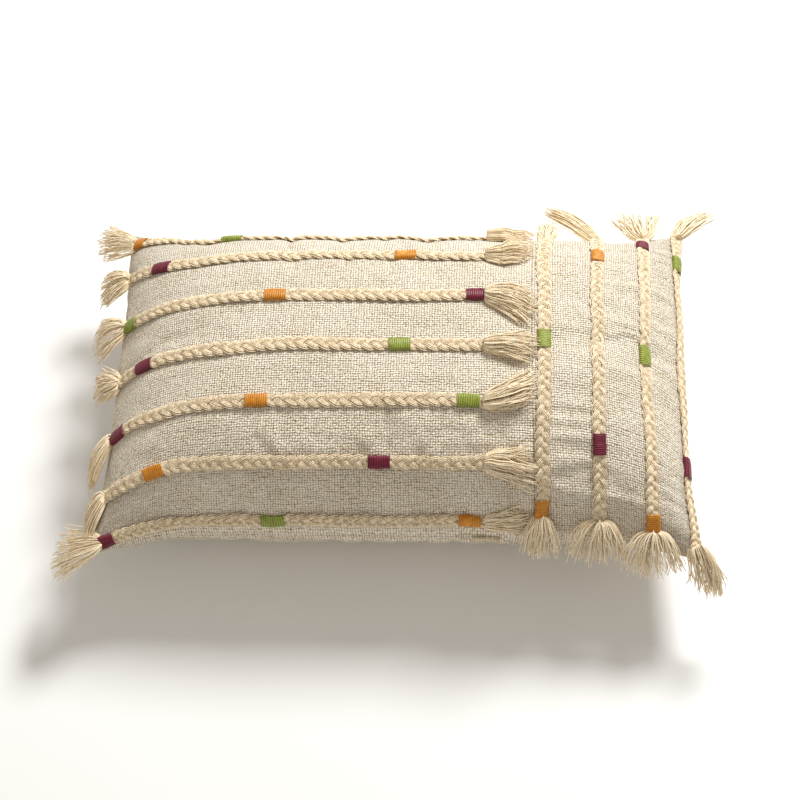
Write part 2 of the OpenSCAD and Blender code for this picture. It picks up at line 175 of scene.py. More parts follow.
def fill_cover():
    """Cloth simulation of the stuffed cover, as front and back grids of points."""
    points, faces, index, seam = sewn_layers()
    mesh = bpy.data.meshes.new("cover_pattern")
    mesh.from_pydata(points, [], faces)
    cover = bpy.data.objects.new("cover_pattern", mesh)
    scene.collection.objects.link(cover)
    cover.shape_key_add(name="flat")
    drawn_in = cover.shape_key_add(name="drawn_in")
    for n, u, v in seam:
        drawn_in.data[n].co = part_surface(u, v, 1)
    for value, at in ((0, 1), (1, DRAW_FRAMES)):
        drawn_in.value = value
        drawn_in.keyframe_insert("value", frame=at)
    group = cover.vertex_groups.new(name="seam")
    group.add([n for n, u, v in seam], 1.0, "REPLACE")

    bpy.ops.object.select_all(action="DESELECT")
    bpy.ops.mesh.primitive_plane_add(size=3, location=(0, 0, -TABLE_T))
    table = bpy.context.object
    table.modifiers.new("rest", "COLLISION")
    table.collision.thickness_outer = TABLE_T
    table.collision.cloth_friction = 20

    cloth = cover.modifiers.new("cloth", "CLOTH")
    s = cloth.settings
    s.quality = 6
    s.mass = 0.0064
    s.tension_stiffness = s.compression_stiffness = 80
    s.shear_stiffness = 10
    s.bending_stiffness = 0.3
    s.tension_damping = s.compression_damping = s.shear_damping = 5
    s.bending_damping = 0.5
    s.air_damping = 2
    s.vertex_group_mass = "seam"
    s.use_pressure = True
    s.uniform_pressure_force = PRESSURE
    s.effector_weights.gravity = 0.3
    cloth.collision_settings.distance_min = 0.001
    cloth.collision_settings.use_self_collision = False
    cloth.point_cache.frame_end = SIM_FRAMES
    for f in range(1, SIM_FRAMES + 1):
        scene.frame_set(f)
    settled = cover.evaluated_get(bpy.context.evaluated_depsgraph_get()).to_mesh()
    co = np.zeros(len(settled.vertices) * 3)
    settled.vertices.foreach_get("co", co)
    co = co.reshape(-1, 3)
    grids = np.zeros((2, SIM_U + 1, SIM_V + 1, 3))
    for (side, i, j), n in index.items():
        grids[0 if side > 0 else 1, i, j] = co[n]
    action = mesh.shape_keys.animation_data.action
    for thing in (cover, table):
        bpy.data.objects.remove(thing)
    bpy.data.actions.remove(action)
    scene.frame_set(1)
    return grids


# ---- Smooth grids that can be read anywhere ----


def spline_weights(t):
    return np.stack([-t ** 3 + 2 * t ** 2 - t, 3 * t ** 3 - 5 * t ** 2 + 2,
                     -3 * t ** 3 + 4 * t ** 2 + t, t ** 3 - t ** 2]) / 2


class Grid:
    """A grid of points or values over the flat pattern, read through a smooth spline."""

    def __init__(self, values):
        self.n, self.m = values.shape[0] - 1, values.shape[1] - 1
        g = np.concatenate([2 * values[:1] - values[1:2], values, 2 * values[-1:] - values[-2:-1]])
        self.g = np.concatenate([2 * g[:, :1] - g[:, 1:2], g, 2 * g[:, -1:] - g[:, -2:-1]], 1)

    def at(self, u, v):
        u, v = np.broadcast_arrays(np.asarray(u, float), np.asarray(v, float))
        s = np.clip(u / FLAT_W + 0.5, 0, 1) * self.n
        t = np.clip(v / FLAT_D + 0.5, 0, 1) * self.m
        i, j = np.minimum(s.astype(int), self.n - 1), np.minimum(t.astype(int), self.m - 1)
        ws, wt = spline_weights(s - i), spline_weights(t - j)
        total = 0
        for a in range(4):
            for b in range(4):
                w = ws[a] * wt[b]
                w = w[..., None] if self.g.ndim == 3 else w
                total = total + w * self.g[i + a, j + b]
        return total


def unit(vectors):
    return vectors / np.maximum(np.linalg.norm(vectors, axis=-1, keepdims=True), 1e-12)


def slopes(sheet, u, v, h=0.0015):
    """Directions of the sheet along u and along v."""
    return sheet.at(u + h, v) - sheet.at(u - h, v), sheet.at(u, v + h) - sheet.at(u, v - h)


def outward(sheet, u, v, side=1):
    du, dv = slopes(sheet, u, v)
    return unit(np.cross(du, dv)) * side


def soft_noise(seed, cell_u, cell_v):
    """Random smooth values from -1 to 1, with bumps of about the cell's size."""
    rng = np.random.default_rng(seed)
    shape = (max(4, round(FLAT_W / cell_u)), max(4, round(FLAT_D / cell_v)))
    return Grid(rng.uniform(-1, 1, shape))


def nearest_uv(sheet, points, u, v, turns=8):
    """Flat-pattern places of a sheet's points nearest to the given ones, from a first guess."""
    u, v = np.array(u, float), np.array(v, float)
    h = 0.001
    for _ in range(turns):
        su, sv = slopes(sheet, u, v, h)
        su, sv = su / (2 * h), sv / (2 * h)
        r = points - sheet.at(u, v)
        a, b, c = (su * su).sum(-1), (su * sv).sum(-1), (sv * sv).sum(-1)
        p, q = (su * r).sum(-1), (sv * r).sum(-1)
        det = np.maximum(a * c - b * b, 1e-9)
        u = np.clip(u + np.clip((c * p - b * q) / det, -0.01, 0.01), -HALF_W, HALF_W)
        v = np.clip(v + np.clip((a * q - b * p) / det, -0.01, 0.01), -HALF_D, HALF_D)
    return u, v


# The most that the filled cloth may stand off the part's own shape
CAP = 0.006
FINE_U, FINE_V = 152, 102
# Bumps longer than this many cells each way are left to the part's shape
BROAD_REACH = 11
# The folds fade out this near the seams, and over this stretch near the corners
SEAM_FADE, CORNER_PLAIN, CORNER_FADE = 0.02, 0.08, 0.09


def broad(values, reach):
    """The values with their short bumps averaged away, over reach cells each way."""
    kernel = np.hanning(2 * reach + 3)[1:-1]
    kernel = kernel / kernel.sum()
    for axis in (0, 1):
        pad = [(reach, reach) if k == axis else (0, 0) for k in (0, 1)]
        padded = np.pad(values, pad, mode="reflect")
        values = np.apply_along_axis(np.convolve, axis, padded, kernel, "valid")
    return values


def filled_sheet(side, simulated):
    """The part's shape with the folds and hollows of the simulated cloth on it."""
    us, vs = np.linspace(-HALF_W, HALF_W, FINE_U + 1), np.linspace(-HALF_D, HALF_D, FINE_V + 1)
    u, v = np.meshgrid(us, vs, indexing="ij")
    plain = Grid(part_surface(u, v, side))
    if simulated is None:
        return plain
    points = plain.at(u, v)
    normal = outward(plain, u, v, side)
    sheet = Grid(simulated)
    near_u, near_v = nearest_uv(sheet, points, u, v)
    off = ((sheet.at(near_u, near_v) - points) * normal).sum(-1)
    # The broad part of the difference is left out, so the outline stays the part's own
    off = off - broad(off, BROAD_REACH)
    room = np.minimum(HALF_W - np.abs(u), HALF_D - np.abs(v))
    corner = np.hypot(HALF_W - np.abs(u), HALF_D - np.abs(v))
    off = off * np.clip(room / SEAM_FADE, 0, 1)
    off = off * np.clip((corner - CORNER_PLAIN) / CORNER_FADE, 0, 1)
    points = points + normal * (CAP * np.tanh(off / CAP))[..., None]
    points[..., 2] = np.maximum(points[..., 2], 0)
    return Grid(points)


cover_grids = fill_cover()
front_sheet, back_sheet = filled_sheet(1, cover_grids[0]), filled_sheet(-1, cover_grids[1])


# ---- Meshes ----


def new_piece(name, points, faces, uvs=None, smooth=True):
    """A mesh object from arrays; uvs are one pair for each point."""
    mesh = bpy.data.meshes.new(name)
    points, faces = np.asarray(points, np.float32), np.asarray(faces, np.int32)
    sides = faces.shape[1]
    mesh.vertices.add(len(points))
    mesh.vertices.foreach_set("co", points.ravel())
    mesh.loops.add(faces.size)
    mesh.loops.foreach_set("vertex_index", faces.ravel())
    mesh.polygons.add(len(faces))
    mesh.polygons.foreach_set("loop_start", np.arange(0, faces.size, sides, dtype=np.int32))
    mesh.update(calc_edges=True)
    if uvs is not None:
        layer = mesh.uv_layers.new(name="flat")
        layer.data.foreach_set("uv", np.asarray(uvs, np.float32)[faces.ravel()].ravel())
    mesh.polygons.foreach_set("use_smooth", np.full(len(faces), smooth))
    mesh.validate()
    piece = bpy.data.objects.new(name, mesh)
    scene.collection.objects.link(piece)
    return piece


def grid_quads(n, m, base=0, up=True):
    i, j = np.meshgrid(np.arange(n - 1), np.arange(m - 1), indexing="ij")
    a = (base + i * m + j).ravel()
    quads = np.stack([a, a + m, a + m + 1, a + 1], 1)
    return quads if up else quads[:, ::-1]


def grid_rim(n, m):
    """Indices round the edge of an n by m grid, in order."""
    return np.concatenate([
        np.arange(m - 1), np.arange(n - 1) * m + m - 1,
        (n - 1) * m + np.arange(m - 1, 0, -1), np.arange(n - 1, 0, -1) * m])


def shell(name, outer, inner, uv, up):
    """A closed skin between two grids of points; up is true when the outer one is on top."""
    n, m = outer.shape[:2]
    size = n * m
    rim = grid_rim(n, m)
    after = np.roll(rim, -1)
    wall = np.stack([rim, rim + size, after + size, after], 1)
    faces = np.concatenate([grid_quads(n, m, 0, up), grid_quads(n, m, size, not up),
                            wall[:, ::-1] if up else wall])
    points = np.concatenate([outer.reshape(-1, 3), inner.reshape(-1, 3)])
    return new_piece(name, points, faces, np.concatenate([uv.reshape(-1, 2)] * 2))


class Tubes:
    """Many round yarns gathered into one mesh, each with six sides."""

    def __init__(self):
        self.points, self.faces, self.uvs, self.count = [], [], [], 0

    def add(self, line, side, radius):
        """line: points; side: a direction across it at each point; radius: one or one a point."""
        line = np.asarray(line, float)
        n = len(line)
        tangent = unit(np.gradient(line, axis=0))
        side = unit(side - (side * tangent).sum(-1, keepdims=True) * tangent)
        up = np.cross(tangent, side)
        radius = np.broadcast_to(np.asarray(radius, float), (n,))
        sides = 6
        angle = 2 * np.pi * np.arange(sides)[:, None] / sides
        ring = (side[:, None] * np.cos(angle) + up[:, None] * np.sin(angle)) * radius[:, None, None]
        points = (line[:, None] + ring).reshape(-1, 3)
        i, j = np.meshgrid(np.arange(n - 1), np.arange(sides), indexing="ij")
        a, b = i * sides + j, i * sides + (j + 1) % sides
        quads = np.stack([a, a + sides, b + sides, b], -1).reshape(-1, 4)[:, ::-1]
        far = np.concatenate([[0], np.cumsum(np.linalg.norm(np.diff(line, axis=0), axis=1))])
        # The second coordinate is 1 along the top of the yarn and 0 along its underside; the yarn
        # materials paint light along the top and shade along the underside from it
        crest = np.abs(2 * np.arange(sides) / sides - 1)
        uv = np.stack(np.broadcast_arrays(far[:, None], crest[None]), -1)
        ends = np.stack([line[0], line[-1]])
        j = np.arange(0, sides, 2)
        first, last = n * sides, n * sides + 1
        base = (n - 1) * sides
        caps = np.concatenate([
            np.stack([np.full(len(j), first), j % sides, (j + 1) % sides,
                      (j + 2) % sides], 1)[:, ::-1],
            np.stack([np.full(len(j), last), base + j % sides, base + (j + 1) % sides,
                      base + (j + 2) % sides], 1)])
        self.points.append(np.concatenate([points, ends]))
        self.uvs.append(np.concatenate([uv.reshape(-1, 2), [[0, 0], [far[-1], 0]]]))
        self.faces.append(np.concatenate([quads, caps]) + self.count)
        self.count += len(points) + 2

    def piece(self, name):
        return new_piece(name, np.concatenate(self.points), np.concatenate(self.faces),
                         np.concatenate(self.uvs))


# ---- Materials ----


def srgb(code):
    """Linear colour from a #rrggbb value."""
    parts = [int(code[i:i + 2], 16) / 255 for i in (1, 3, 5)]
    return tuple(c / 12.92 if c <= 0.04045 else ((c + 0.055) / 1.055) ** 2.4 for c in parts) + (1,)


def add(tree, kind, inputs=None, **settings):
    """Adds a node, sets its properties, and sets or links its inputs."""
    node = tree.nodes.new("ShaderNode" + kind)
    for name, value in settings.items():
        setattr(node, name, value)
    for name, value in (inputs or {}).items():
        if isinstance(value, bpy.types.NodeSocket):
            tree.links.new(value, node.inputs[name])
        else:
            node.inputs[name].default_value = value
    return node


def new_material(name, **shader):
    material = bpy.data.materials.new(name)
    material.use_nodes = True
    tree = material.node_tree
    bsdf = tree.nodes["Principled BSDF"]
    for key, value in shader.items():
        bsdf.inputs[key.replace("_", " ")].default_value = value
    return material, tree, bsdf


def maths(tree, operation, a, b=0.0, c=0.0):
    node = add(tree, "Math", {0: a, 1: b, 2: c}, operation=operation)
    return node.outputs[0]


def ramp(tree, factor, stops):
    node = add(tree, "ValToRGB", {"Fac": factor})
    elements = node.color_ramp.elements
    while len(elements) < len(stops):
        elements.new(0.5)
    for element, (position, colour) in zip(elements, stops):
        element.position = position
        element.color = srgb(colour)
    return node.outputs["Color"]


def bump(tree, bsdf, height, strength, distance):
    node = add(tree, "Bump", {"Height": height, "Strength": strength, "Distance": distance})
    tree.links.new(node.outputs["Normal"], bsdf.inputs["Normal"])


# The real threads are about 1.3 mm apart; they are drawn at 2.4 mm, as coarse as they need to show
THREAD = 0.0024


def slub_cotton():
    """Undyed slub cotton in a coarse plain weave: matt, fuzzy, with thick and thin threads."""
    material, tree, bsdf = new_material("slub_cotton_plain_weave", Roughness=0.92,
                                        Specular_IOR_Level=0.2, Sheen_Weight=0.15,
                                        Sheen_Roughness=0.6)
    flat = add(tree, "UVMap", uv_map="flat").outputs["UV"]
    wander = add(tree, "TexNoise", {"Vector": flat, "Scale": 140, "Detail": 1}).outputs["Color"]
    pull = add(tree, "VectorMath", {0: wander, 1: (0.5, 0.5, 0.5)}, operation="SUBTRACT").outputs[0]
    shifted = add(tree, "VectorMath", {0: pull, 1: (0.0024, 0.0024, 0), 2: flat},
                  operation="MULTIPLY_ADD").outputs[0]
    place = add(tree, "SeparateXYZ", {0: shifted})
    warp = maths(tree, "SINE", maths(tree, "MULTIPLY", place.outputs["X"], math.pi / THREAD))
    weft = maths(tree, "SINE", maths(tree, "MULTIPLY", place.outputs["Y"], math.pi / THREAD))
    on_top = maths(tree, "GREATER_THAN", maths(tree, "MULTIPLY", warp, weft), 0.0)
    warp, weft = maths(tree, "ABSOLUTE", warp), maths(tree, "ABSOLUTE", weft)
    # Slubs are thick stretches of the threads that run the long way, about 25 mm long
    slub_at = add(tree, "Mapping", {"Vector": flat, "Scale": (40, 330, 1)}).outputs[0]
    slub = add(tree, "TexNoise", {"Vector": slub_at, "Scale": 1, "Detail": 2}).outputs["Fac"]
    warp_at = add(tree, "Mapping", {"Vector": flat, "Scale": (300, 35, 1)}).outputs[0]
    warp_slub = add(tree, "TexNoise", {"Vector": warp_at, "Scale": 1, "Detail": 2}).outputs["Fac"]
    warp_h = maths(tree, "MULTIPLY", maths(tree, "POWER", warp, 0.7),
                   maths(tree, "MULTIPLY_ADD", weft, 0.30, 0.55))
    warp_h = maths(tree, "MULTIPLY", warp_h, maths(tree, "MULTIPLY_ADD", warp_slub, 1.1, 0.35))
    weft_h = maths(tree, "MULTIPLY", maths(tree, "POWER", weft, 0.5),
                   maths(tree, "MULTIPLY_ADD", warp, 0.30, 0.60))
    weft_h = maths(tree, "MULTIPLY", weft_h, maths(tree, "MULTIPLY_ADD", slub, 1.7, 0.15))
    height = add(tree, "Mix", {0: on_top, 2: weft_h, 3: warp_h}).outputs[0]
    # Loose fibres fill some of the gaps between the threads and leave others open; the open gaps
    # get painted shade
    fuzz_at = add(tree, "Mapping", {"Vector": flat, "Scale": (260, 420, 1)}).outputs[0]
    fuzz = add(tree, "TexNoise", {"Vector": fuzz_at, "Scale": 1, "Detail": 3}).outputs["Fac"]
    height = maths(tree, "MULTIPLY_ADD", fuzz, 1.0,
                   maths(tree, "MULTIPLY_ADD", height, 0.75, -0.38))
    patches = add(tree, "TexNoise", {"Vector": flat, "Scale": 18, "Detail": 2}).outputs["Fac"]
    # The colour follows the weave's height: painted shade in the low gaps between the threads,
    # light on their tops; the patches are random tone
    shade = maths(tree, "MULTIPLY_ADD", height, 0.8, maths(tree, "MULTIPLY", patches, 0.22))
    colour = ramp(tree, shade, [(0.13, "#664a2b"), (0.33, "#ccb68e"), (0.62, "#fbf2e1")])
    tree.links.new(colour, bsdf.inputs["Base Color"])
    bump(tree, bsdf, height, 1.0, 0.0022)
    return material


def yarn_material(name, low, high, ply, sheen=0.15, roughness=0.9, specular=0.2, depth=0.0003):
    """Spun yarn: ply is the length of one twist of its strands, in metres. Painted light along its
    top, and painted shade along its underside and in the grooves between turns of wound thread.
    """
    material, tree, bsdf = new_material(name, Roughness=roughness, Specular_IOR_Level=specular,
                                        Sheen_Weight=sheen, Sheen_Roughness=0.5)
    place = add(tree, "SeparateXYZ", {0: add(tree, "UVMap", uv_map="flat").outputs["UV"]})
    twist = maths(tree, "SINE", maths(tree, "MULTIPLY", place.outputs["X"], 2 * math.pi / ply))
    spots = add(tree, "TexCoord").outputs["Object"]
    fuzz = add(tree, "TexNoise", {"Vector": spots, "Scale": 260, "Detail": 2}).outputs["Fac"]
    shade = maths(tree, "MULTIPLY_ADD", twist, 0.06, maths(tree, "MULTIPLY", fuzz, 0.6))
    # Painted shade: the colour is lighter along the yarn's top and darker along its underside, and
    # in the grooves between the turns of wound thread
    shade = maths(tree, "MULTIPLY_ADD", place.outputs["Y"], 0.42, shade)
    tree.links.new(ramp(tree, shade, [(0.28, low), (0.80, high)]), bsdf.inputs["Base Color"])
    bump(tree, bsdf, shade, 0.6, depth)
    return material


def calico_material():
    """Bleached calico: a fine, thin plain weave."""
    material, tree, bsdf = new_material("bleached_calico", Roughness=0.9, Specular_IOR_Level=0.2)
    flat = add(tree, "UVMap", uv_map="flat").outputs["UV"]
    weave = add(tree, "TexChecker", {"Vector": flat, "Scale": 1200}).outputs["Fac"]
    tree.links.new(ramp(tree, weave, [(0, "#e4ddcd"), (1, "#f1ede3")]), bsdf.inputs["Base Color"])
    bump(tree, bsdf, weave, 0.3, 0.0002)
    return material


def fibre_material():
    """Carded polyester fibre: white, springy and cloudy."""
    material, tree, bsdf = new_material("carded_polyester_fibre", Roughness=0.8, Sheen_Weight=0.4)
    spots = add(tree, "TexCoord").outputs["Object"]
    cloud = add(tree, "TexNoise", {"Vector": spots, "Scale": 60, "Detail": 6}).outputs["Fac"]
    colour = ramp(tree, cloud, [(0.3, "#dfddd8"), (0.7, "#f8f7f4")])
    tree.links.new(colour, bsdf.inputs["Base Color"])
    bump(tree, bsdf, cloud, 0.7, 0.003)
    return material


def tape_material():
    """Woven polyester zip tape: close ribs along its length, with painted shade in the grooves
    between them.
    """
    material, tree, bsdf = new_material("woven_polyester_tape", Roughness=0.75)
    place = add(tree, "SeparateXYZ", {0: add(tree, "TexCoord").outputs["Object"]})
    ribs = maths(tree, "SINE", maths(tree, "MULTIPLY", place.outputs["Z"], 2 * math.pi / 0.0009))
    # Painted shade: the colour is darker in the grooves between the ribs and lighter on their tops
    shade = maths(tree, "MULTIPLY_ADD", ribs, 0.5, 0.5)
    tree.links.new(ramp(tree, shade, [(0, "#b7a783"), (1, "#d9caa8")]), bsdf.inputs["Base Color"])
    bump(tree, bsdf, shade, 0.5, 0.0002)
    return material


def nylon_material():
    """Drawn nylon filament: smooth, a little see-through at the edges, with a soft shine."""
    material, tree, bsdf = new_material("drawn_nylon_filament", Roughness=0.35, IOR=1.53,
                                        Coat_Weight=0.2, Coat_Roughness=0.3)
    spots = add(tree, "TexCoord").outputs["Object"]
    cloud = add(tree, "TexNoise", {"Vector": spots, "Scale": 300}).outputs["Fac"]
    colour = ramp(tree, cloud, [(0.3, "#e2d8c0"), (0.7, "#efe6d0")])
    tree.links.new(colour, bsdf.inputs["Base Color"])
    return material


def lacquer_material():
    """Zinc die castings lacquered to match the cloth: smooth and half matt."""
    material, tree, bsdf = new_material("lacquered_zinc_casting", Roughness=0.4, Coat_Weight=0.3,
                                        Coat_Roughness=0.3)
    spots = add(tree, "TexCoord").outputs["Object"]
    marks = add(tree, "TexNoise", {"Vector": spots, "Scale": 900, "Detail": 3}).outputs["Fac"]
    colour = ramp(tree, marks, [(0.3, "#cdbb97"), (0.7, "#d8c7a5")])
    tree.links.new(colour, bsdf.inputs["Base Color"])
    rough = maths(tree, "MULTIPLY_ADD", marks, 0.25, 0.28)
    tree.links.new(rough, bsdf.inputs["Roughness"])
    bump(tree, bsdf, marks, 0.15, 0.0001)
    return material


COTTON = slub_cotton()
# In each yarn below, the low and high colours mix the yarn's own tone with painted shade on the
# underside and in the grooves of wound thread, and painted light along the top
PLAIT = yarn_material("soft_spun_cotton_plait", "#a07d48", "#fff0d2", 0.0035)
FRINGE = yarn_material("unravelled_cotton_yarn", "#dcc090", "#fff3d9", 0.0028)
# Mercerised embroidery cotton: tight, even and glossy
SILKY = {"sheen": 0.05, "roughness": 0.45, "specular": 0.4}
THREADS = {
    "mustard": yarn_material("mercerised_thread_mustard", "#a86408", "#df9523", 0.5, **SILKY),
    "maroon": yarn_material("mercerised_thread_maroon", "#4a0619", "#851236", 0.5, **SILKY),
    "green": yarn_material("mercerised_thread_green", "#66701f", "#a3ae48", 0.5, **SILKY),
}
CALICO, FIBRE, TAPE = calico_material(), fibre_material(), tape_material()
NYLON, LACQUER = nylon_material(), lacquer_material()


def finish_piece(piece, material, slot, body, *nodes):
    """Gives a piece its finish and its body, and hides the part's solids that it stands for."""
    piece.data.materials.clear()
    piece.data.materials.append(material)
    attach(piece, body)
    if nodes:
        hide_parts(*nodes)
    return piece


# ---- Cover ----

CRINKLE = soft_noise(11, 0.045, 0.0075)
BILLOW = soft_noise(12, 0.050, 0.035)
LUMPS = soft_noise(13, 0.012, 0.008)
PUCKER = soft_noise(14, 0.013, 0.013)
# Heights of the crinkles on the left panel, of those that the right one has more, and of the rest
CRINKLE_H, RIGHT_CRINKLE_H, BILLOW_H, LUMP_H = 0.00045, 0.0007, 0.0009, 0.00022
PUCKER_H, PUCKER_REACH, PUCKER_START = 0.0013, 0.012, 0.004
# The join's dip, and the gathers beside it, which come closer together than the puckers
DIP_H, DIP_W = 0.0009, 0.0018
GATHER_H, GATHER_REACH, GATHER_START, GATHER_RATE = 0.0005, 0.014, 0.003, 1.4


def beside(distance, reach, start):
    """Fades away from a seam, and starts a little way off it."""
    return np.exp(-distance / reach) * np.clip(distance / start, 0, 1)


def relief(u, v):
    """How far the cloth stands off its smooth shape: crinkles, seam puckers and the join's dip."""
    from_side, from_long = HALF_W - np.abs(u), HALF_D - np.abs(v)
    right = 1 / (1 + np.exp(-(u - JOIN_U) / 0.004))
    calm = np.clip(np.minimum(from_side, from_long) / SEAM_FADE, 0, 1)
    crinkle = (CRINKLE_H + RIGHT_CRINKLE_H * right) * CRINKLE.at(u, v) + BILLOW_H * BILLOW.at(u, v)
    lumps = LUMP_H * LUMPS.at(u, v)
    long_puckers = PUCKER.at(u, np.zeros_like(v)) * beside(from_long, PUCKER_REACH, PUCKER_START)
    side_puckers = PUCKER.at(np.zeros_like(u), v) * beside(from_side, PUCKER_REACH, PUCKER_START)
    join = np.abs(u - JOIN_U)
    dip = -DIP_H * np.exp(-(join / DIP_W) ** 2)
    gathers = PUCKER.at(v * GATHER_RATE, np.full_like(u, 0.1))
    gathers = gathers * beside(join, GATHER_REACH, GATHER_START)
    puckers = PUCKER_H * (long_puckers + side_puckers)
    return calm * (crinkle + lumps) + puckers + dip + GATHER_H * gathers


def stations(low, high, step):
    """Even steps, with closer ones at both ends, where the cloth turns over a seam."""
    middle = np.linspace(low, high, max(2, round((high - low) / step) + 1))
    close = [low + 0.0004, low + 0.001, high - 0.001, high - 0.0004]
    return np.unique(np.concatenate([middle, close]).round(6))


# Size of the cloth's mesh, and how near the seams its layers come apart
CLOTH_STEP, LIP_W, SLOT_END, SLOT_EDGE = 0.0021, 0.010, 0.006, 0.0008
# Under this height the back's folds are pressed flat
PRESSED_H = 0.012


def cover_layer(name, side, u_from, u_to, node):
    sheet = front_sheet if side > 0 else back_sheet
    us, vs = stations(u_from, u_to, CLOTH_STEP), stations(-HALF_D, HALF_D, CLOTH_STEP)
    u, v = np.meshgrid(us, vs, indexing="ij")
    normal = outward(sheet, u, v, side)
    base = sheet.at(u, v)
    if side > 0:
        height = relief(u, v)
    else:  # the back is one plain piece, pressed flat underneath
        height = relief(-np.abs(u), v) * np.clip(base[..., 2] / PRESSED_H, 0, 1)
    outer = base + normal * height[..., None]
    # Along the zip the two edges part, a little wider than the slider's neck
    x = base[..., 0]
    inside = np.minimum(x - ZIP_LEFT, ZIP_RIGHT - x)
    at_edge = (v < -HALF_D + SLOT_EDGE) * np.clip(inside / SLOT_END + 1, 0, 1)
    gap = LAYER_GAP / 2 + (SLOT_HALF - LAYER_GAP / 2) * at_edge
    near = np.clip(1 - np.minimum(HALF_W - np.abs(u), HALF_D - np.abs(v)) / LIP_W, 0, 1)
    outer[..., 2] += side * gap * near
    outer[..., 2] = np.maximum(outer[..., 2], 0)
    inner = outer - normal * CLOTH_T
    inner[..., 2] = np.maximum(inner[..., 2], outer[..., 2].clip(None, CLOTH_T) if side < 0 else 0)
    if side > 0:
        shift = JOIN_GAP / 2 if u_from > 0 else -JOIN_GAP / 2
        outer[..., 0] += shift
        inner[..., 0] += shift
    piece = shell(name, outer, inner, np.stack([u, v], -1), side > 0)
    finish_piece(piece, COTTON, "cover_cloth", "pillow", node)


cover_layer("front_panel_left_cloth", 1, -HALF_W, JOIN_U, "front_panel_left")
cover_layer("front_panel_right_cloth", 1, JOIN_U, HALF_W, "front_panel_right")
cover_layer("back_panel_cloth", -1, -HALF_W, HALF_W, "back_panel")

# ---- Insert: a calico case inside the cover, packed with fibre ----


def drawn_inside(sheet, side, shares, u, v, floor):
    """The sheet's points, brought towards the middle of the pillow."""
    points = sheet.at(u, v) - np.array([0, 0, SEAM_H])
    points = points * np.array(shares) + np.array([0, 0, SEAM_H + side * 0.0003])
    points[..., 2] = np.maximum(points[..., 2], floor)
    return points


# Shares of the cover's size, and heights over the floor, of the insert's three layers
CASE_SHARES, LINING_SHARES = (0.946, 0.906, 0.955), (0.943, 0.901, 0.945)
FILL_SHARES = (0.935, 0.890, 0.930)
CASE_FLOOR, LINING_FLOOR, FILL_FLOOR = 0.0022, 0.0030, 0.0040
# The case billows by this much, and never comes lower than this
CASE_BILLOW, CASE_LOWEST = 0.0006, 0.0020
INSERT_U, INSERT_V = 123, 83


def insert_pieces():
    us, vs = np.linspace(-HALF_W, HALF_W, INSERT_U), np.linspace(-HALF_D, HALF_D, INSERT_V)
    u, v = np.meshgrid(us, vs, indexing="ij")
    uv = np.stack([u, v], -1)
    filling = []
    for side, sheet, name in ((1, front_sheet, "front"), (-1, back_sheet, "back")):
        case = drawn_inside(sheet, side, CASE_SHARES, u, v, CASE_FLOOR)
        case[..., 2] += CASE_BILLOW * BILLOW.at(u * 0.9, v) * side
        lining = drawn_inside(sheet, side, LINING_SHARES, u, v, LINING_FLOOR)
        case[..., 2] = case[..., 2].clip(CASE_LOWEST, None)
        piece = shell("insert_casing_" + name + "_cloth", case, lining, uv, side > 0)
        finish_piece(piece, CALICO, "insert_casing", "pillow", "insert_casing_" + name)
        filling.append(drawn_inside(sheet, side, FILL_SHARES, u, v, FILL_FLOOR))
    piece = shell("fibre_filling", filling[0], filling[1], uv, True)
    finish_piece(piece, FIBRE, "polyester_fibre", "pillow", "fibre_fill")


insert_pieces()

# ---- Plaits ----

# Length of one full turn of a plait, and how far a strand goes sideways and up and down in it
PITCH, SWAY, HEAVE = 0.0294, 0.0043, 0.0011
# Each strand is four yarns side by side; the outer ones lie lower, over an arch
YARNS = np.linspace(-1.5, 1.5, 4) * 0.00136
YARN_R, YARN_JITTER = 0.00070, 0.00018
ARCH_H, ARCH_HALF_W, ARCH_SINK = 0.0009, 0.0023, 0.0005
PLAIT_STEP, PLAIT_LIFT = 0.0021, 0.0021
# How far along the cover each column has strayed by its lower end
COLUMN_DRIFT = [-0.006, -0.004, -0.001, 0.004]
# How often a plait's line is worked out, and how far the sewing wanders from straight
ROUTE_STEP, WANDER = 0.006, 0.0011


